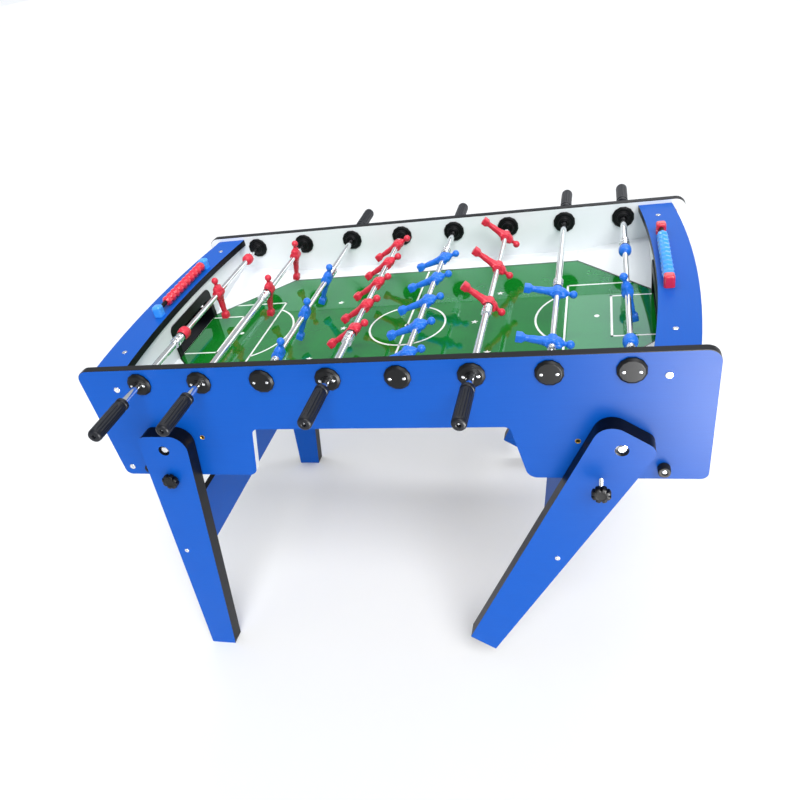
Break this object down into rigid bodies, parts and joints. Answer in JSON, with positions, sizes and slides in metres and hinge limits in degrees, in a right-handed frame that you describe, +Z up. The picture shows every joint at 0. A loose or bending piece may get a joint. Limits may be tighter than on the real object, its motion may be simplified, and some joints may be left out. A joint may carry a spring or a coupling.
{
  "type": "folding foosball table",
  "caption": "Table football game: long box cabinet with green pitch, sliding and turning player rods from both sides, goals and counters at the ends, on two folding leg pairs.",
  "frame": {"origin": "on the floor under the middle of the cabinet", "axes": "+X along the table towards the end whose goal the blue side defends, +Y across to the blue side's rod handles, +Z up"},
  "size_m": [1.358, 1.138, 0.9158],
  "materials": {
    "blue_board": "blue melamine faced MDF, satin",
    "white_board": "white melamine faced board, satin",
    "green_board": "printed green board under clear lacquer, high gloss",
    "batten_wood": "sawn softwood",
    "black_edging": "black edge banding",
    "black_abs": "moulded black ABS, satin",
    "black_grip": "moulded black grip, matte",
    "rubber": "black rubber",
    "chrome": "polished chrome plated steel",
    "zinc": "bright zinc plated steel",
    "brass": "turned brass",
    "red_plastic": "moulded red plastic, semi gloss",
    "blue_plastic": "moulded blue plastic, semi gloss",
    "light_blue_plastic": "moulded light blue plastic, gloss"
  },
  "bodies": {
    "cabinet": {"near_panel": "blue_board", "far_panel": "blue_board", "panel_edge_bands": "black_edging", "end_walls": "white_board", "end_boards": "blue_board", "playfield": "green_board", "ball_ramps": "white_board", "support_battens": "batten_wood", "goals": "black_abs", "open_bearings": "black_abs", "blind_bearings": "black_abs", "cabinet_screws": "zinc", "lock_inserts": "brass", "leg_stops": "rubber", "pivot_bolts": "zinc", "counter_stands": "black_abs"},
    "left_leg_pair": {"left_legs": "blue_board", "left_cross_board": "blue_board", "left_board_screws": "zinc"},
    "right_leg_pair": {"right_legs": "blue_board", "right_cross_board": "blue_board", "right_board_screws": "zinc"},
    "lock_knob_left_near": {"knob_left_near": "black_abs"},
    "lock_knob_left_far": {"knob_left_far": "black_abs"},
    "lock_knob_right_near": {"knob_right_near": "black_abs"},
    "lock_knob_right_far": {"knob_right_far": "black_abs"},
    "red_counter": {"red_counter_beads": "red_plastic"},
    "blue_counter": {"blue_counter_beads": "light_blue_plastic"},
    "pin_1": {"guide_pin_1": "chrome"},
    "player_rod_1": {"rod_1": "chrome", "men_1": "red_plastic", "grip_1": "black_grip"},
    "pin_2": {"guide_pin_2": "chrome"},
    "player_rod_2": {"rod_2": "chrome", "men_2": "red_plastic", "grip_2": "black_grip"},
    "pin_3": {"guide_pin_3": "chrome"},
    "player_rod_3": {"rod_3": "chrome", "men_3": "blue_plastic", "grip_3": "black_grip"},
    "pin_4": {"guide_pin_4": "chrome"},
    "player_rod_4": {"rod_4": "chrome", "men_4": "red_plastic", "grip_4": "black_grip"},
    "pin_5": {"guide_pin_5": "chrome"},
    "player_rod_5": {"rod_5": "chrome", "men_5": "blue_plastic", "grip_5": "black_grip"},
    "pin_6": {"guide_pin_6": "chrome"},
    "player_rod_6": {"rod_6": "chrome", "men_6": "red_plastic", "grip_6": "black_grip"},
    "pin_7": {"guide_pin_7": "chrome"},
    "player_rod_7": {"rod_7": "chrome", "men_7": "blue_plastic", "grip_7": "black_grip"},
    "pin_8": {"guide_pin_8": "chrome"},
    "player_rod_8": {"rod_8": "chrome", "men_8": "blue_plastic", "grip_8": "black_grip"}
  },
  "joints": [
    {"name": "left_legs_fold", "type": "hinge", "parent": "cabinet", "child": "left_leg_pair", "pos_m": [-0.505, 0, 0.69848], "axis": [0, -1, 0], "range_deg": [0, 102]},
    {"name": "right_legs_fold", "type": "hinge", "parent": "cabinet", "child": "right_leg_pair", "pos_m": [0.505, 0, 0.69848], "axis": [0, 1, 0], "range_deg": [-35.2, 56.3]},
    {"name": "knob_left_near_unscrew", "type": "slide", "parent": "left_leg_pair", "child": "lock_knob_left_near", "axis": [0, -1, 0], "range_m": [0, 0.033]},
    {"name": "knob_left_far_unscrew", "type": "slide", "parent": "left_leg_pair", "child": "lock_knob_left_far", "axis": [0, 1, 0], "range_m": [0, 0.033]},
    {"name": "knob_right_near_unscrew", "type": "slide", "parent": "right_leg_pair", "child": "lock_knob_right_near", "axis": [0, -1, 0], "range_m": [-0.033, 0]},
    {"name": "knob_right_far_unscrew", "type": "slide", "parent": "right_leg_pair", "child": "lock_knob_right_far", "axis": [0, 1, 0], "range_m": [-0.033, 0]},
    {"name": "red_counter_slide", "type": "slide", "parent": "cabinet", "child": "red_counter", "axis": [0, -1, 0], "range_m": [0, 0.029]},
    {"name": "blue_counter_slide", "type": "slide", "parent": "cabinet", "child": "blue_counter", "axis": [0, 1, 0], "range_m": [0, 0.028]},
    {"name": "rod_1_turn", "type": "hinge", "parent": "cabinet", "child": "pin_1", "pos_m": [-0.525, 0, 0.85798], "axis": [0, 1, 0], "range_deg": [-221, 37]},
    {"name": "rod_1_slide", "type": "slide", "parent": "pin_1", "child": "player_rod_1", "axis": [0, 1, 0], "range_m": [-0.139, 0.038]},
    {"name": "rod_2_turn", "type": "hinge", "parent": "cabinet", "child": "pin_2", "pos_m": [-0.375, 0, 0.85798], "axis": [0, 1, 0], "continuous": true},
    {"name": "rod_2_slide", "type": "slide", "parent": "pin_2", "child": "player_rod_2", "axis": [0, 1, 0], "range_m": [-0.348, 0.037]},
    {"name": "rod_3_turn", "type": "hinge", "parent": "cabinet", "child": "pin_3", "pos_m": [-0.225, 0, 0.85798], "axis": [0, 1, 0], "continuous": true},
    {"name": "rod_3_slide", "type": "slide", "parent": "pin_3", "child": "player_rod_3", "axis": [0, 1, 0], "range_m": [-0.042, 0.185]},
    {"name": "rod_4_turn", "type": "hinge", "parent": "cabinet", "child": "pin_4", "pos_m": [-0.075, 0, 0.85798], "axis": [0, 1, 0], "continuous": true},
    {"name": "rod_4_slide", "type": "slide", "parent": "pin_4", "child": "player_rod_4", "axis": [0, 1, 0], "range_m": [-0.111, 0.022]},
    {"name": "rod_5_turn", "type": "hinge", "parent": "cabinet", "child": "pin_5", "pos_m": [0.075, 0, 0.85798], "axis": [0, 1, 0], "continuous": true},
    {"name": "rod_5_slide", "type": "slide", "parent": "pin_5", "child": "player_rod_5", "axis": [0, 1, 0], "range_m": [-0.024, 0.109]},
    {"name": "rod_6_turn", "type": "hinge", "parent": "cabinet", "child": "pin_6", "pos_m": [0.225, 0, 0.85798], "axis": [0, 1, 0], "continuous": true},
    {"name": "rod_6_slide", "type": "slide", "parent": "pin_6", "child": "player_rod_6", "axis": [0, 1, 0], "range_m": [-0.205, 0.022]},
    {"name": "rod_7_turn", "type": "hinge", "parent": "cabinet", "child": "pin_7", "pos_m": [0.375, 0, 0.85798], "axis": [0, 1, 0], "continuous": true},
    {"name": "rod_7_slide", "type": "slide", "parent": "pin_7", "child": "player_rod_7", "axis": [0, 1, 0], "range_m": [-0.048, 0.337]},
    {"name": "rod_8_turn", "type": "hinge", "parent": "cabinet", "child": "pin_8", "pos_m": [0.525, 0, 0.85798], "axis": [0, 1, 0], "range_deg": [-26, 232]},
    {"name": "rod_8_slide", "type": "slide", "parent": "pin_8", "child": "player_rod_8", "axis": [0, 1, 0], "range_m": [-0.038, 0.139]}
  ]
}
